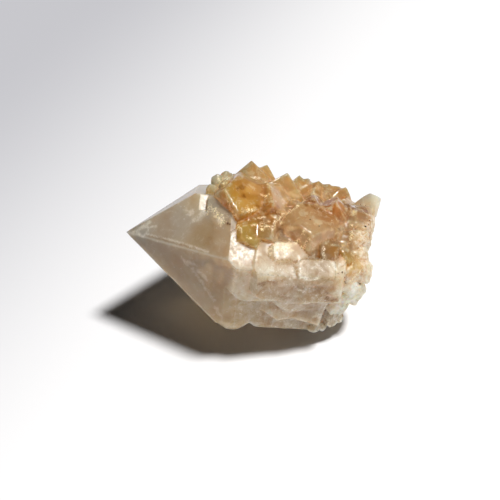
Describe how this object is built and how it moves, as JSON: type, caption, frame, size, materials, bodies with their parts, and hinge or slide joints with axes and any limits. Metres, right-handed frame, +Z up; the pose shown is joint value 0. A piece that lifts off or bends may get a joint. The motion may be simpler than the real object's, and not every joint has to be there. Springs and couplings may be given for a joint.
{
  "type": "spirit quartz cluster",
  "caption": "Spirit quartz cluster lying on its side: a large smoky quartz point, its prism crusted with small amber and pale crystals, its root broken off.",
  "frame": {"origin": "on the surface that the cluster lies on, under the middle of its bounding box", "axes": "+Z up, +X from the large point's tip to the broken root, along the cluster's length, +Y to its back"},
  "size_m": [0.0538, 0.041, 0.0354],
  "materials": {
    "quartz": "natural crystal faces, glossy with fine growth lines, clouded inside, smoky grey-brown to amber",
    "iron_stain": "dull dark brown grains of iron oxide in the joints between the crystals"
  },
  "bodies": {
    "root": {"quartz_cluster": "quartz"}
  },
  "joints": []
}
